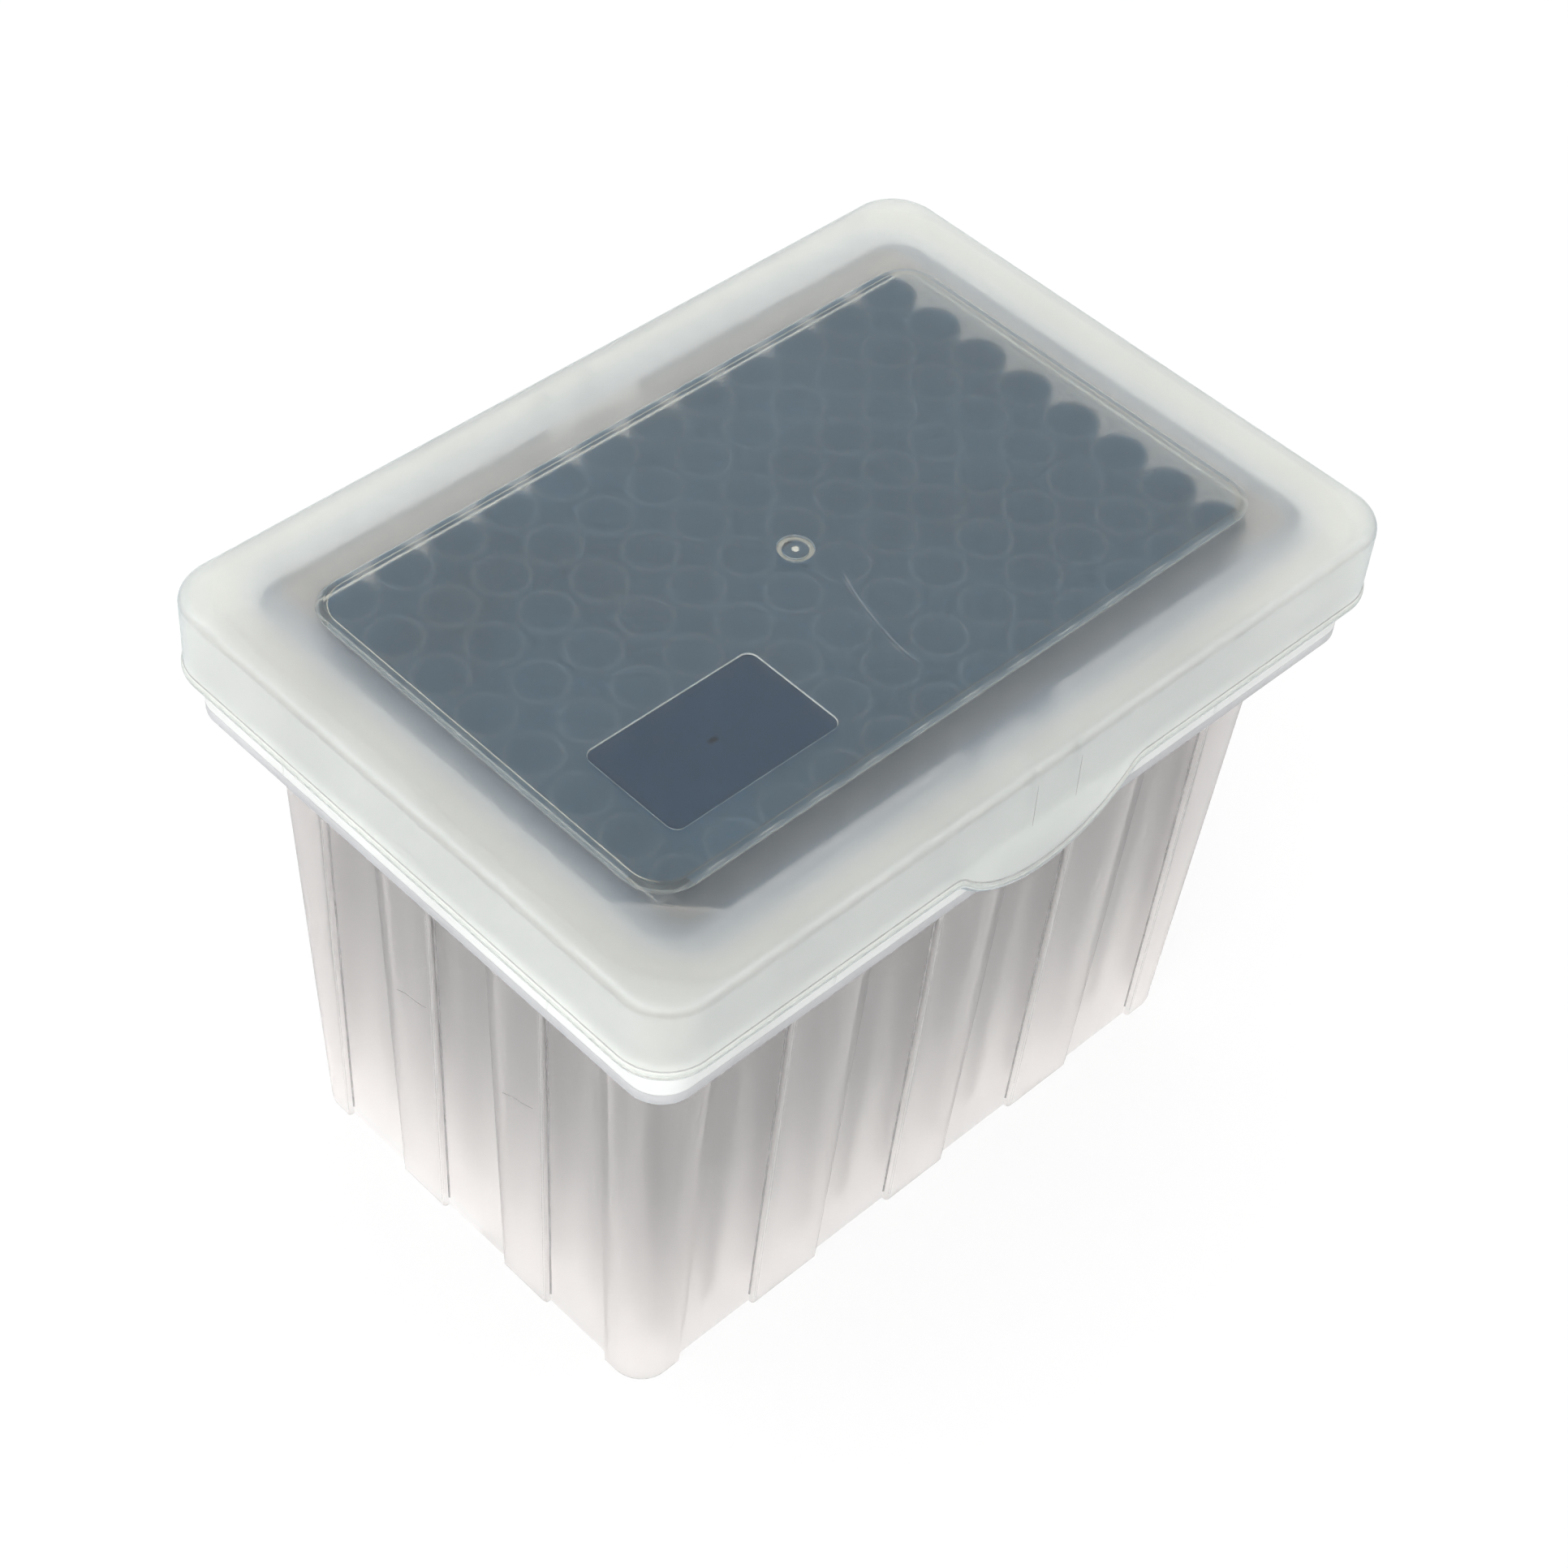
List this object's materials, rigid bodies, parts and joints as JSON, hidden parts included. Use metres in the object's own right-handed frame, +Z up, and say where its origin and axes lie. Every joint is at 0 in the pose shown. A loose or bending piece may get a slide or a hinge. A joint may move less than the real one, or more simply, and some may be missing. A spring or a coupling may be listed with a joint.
{
  "type": "pipette tip box",
  "caption": "Tall translucent box for laboratory pipette tips, with a lift-off lid with a thumb tab, a rack plate and a full grid of long black tips.",
  "frame": {"origin": "middle of the tub's flat underside", "axes": "+Z up, +X along the long side of the tip grid, -Y towards the lid's thumb tab"},
  "size_m": [0.1366, 0.0974, 0.1038],
  "materials": {
    "natural_plastic": "satin, translucent",
    "frosted_plastic": "frosted, translucent",
    "rack_plastic": "satin, translucent",
    "black_plastic": "satin, filled with carbon"
  },
  "bodies": {
    "box": {"tub": "natural_plastic", "rack_plate": "rack_plastic", "tips_column_01": "black_plastic", "tips_column_02": "black_plastic", "tips_column_03": "black_plastic", "tips_column_04": "black_plastic", "tips_column_05": "black_plastic", "tips_column_06": "black_plastic", "tips_column_07": "black_plastic", "tips_column_08": "black_plastic", "tips_column_09": "black_plastic", "tips_column_10": "black_plastic", "tips_column_11": "black_plastic", "tips_column_12": "black_plastic"},
    "lid": {"lid": "frosted_plastic"}
  },
  "joints": [
    {"name": "lid_lift", "type": "slide", "parent": "box", "child": "lid", "axis": [0, 0, 1], "range_m": [0, 0.04]}
  ]
}
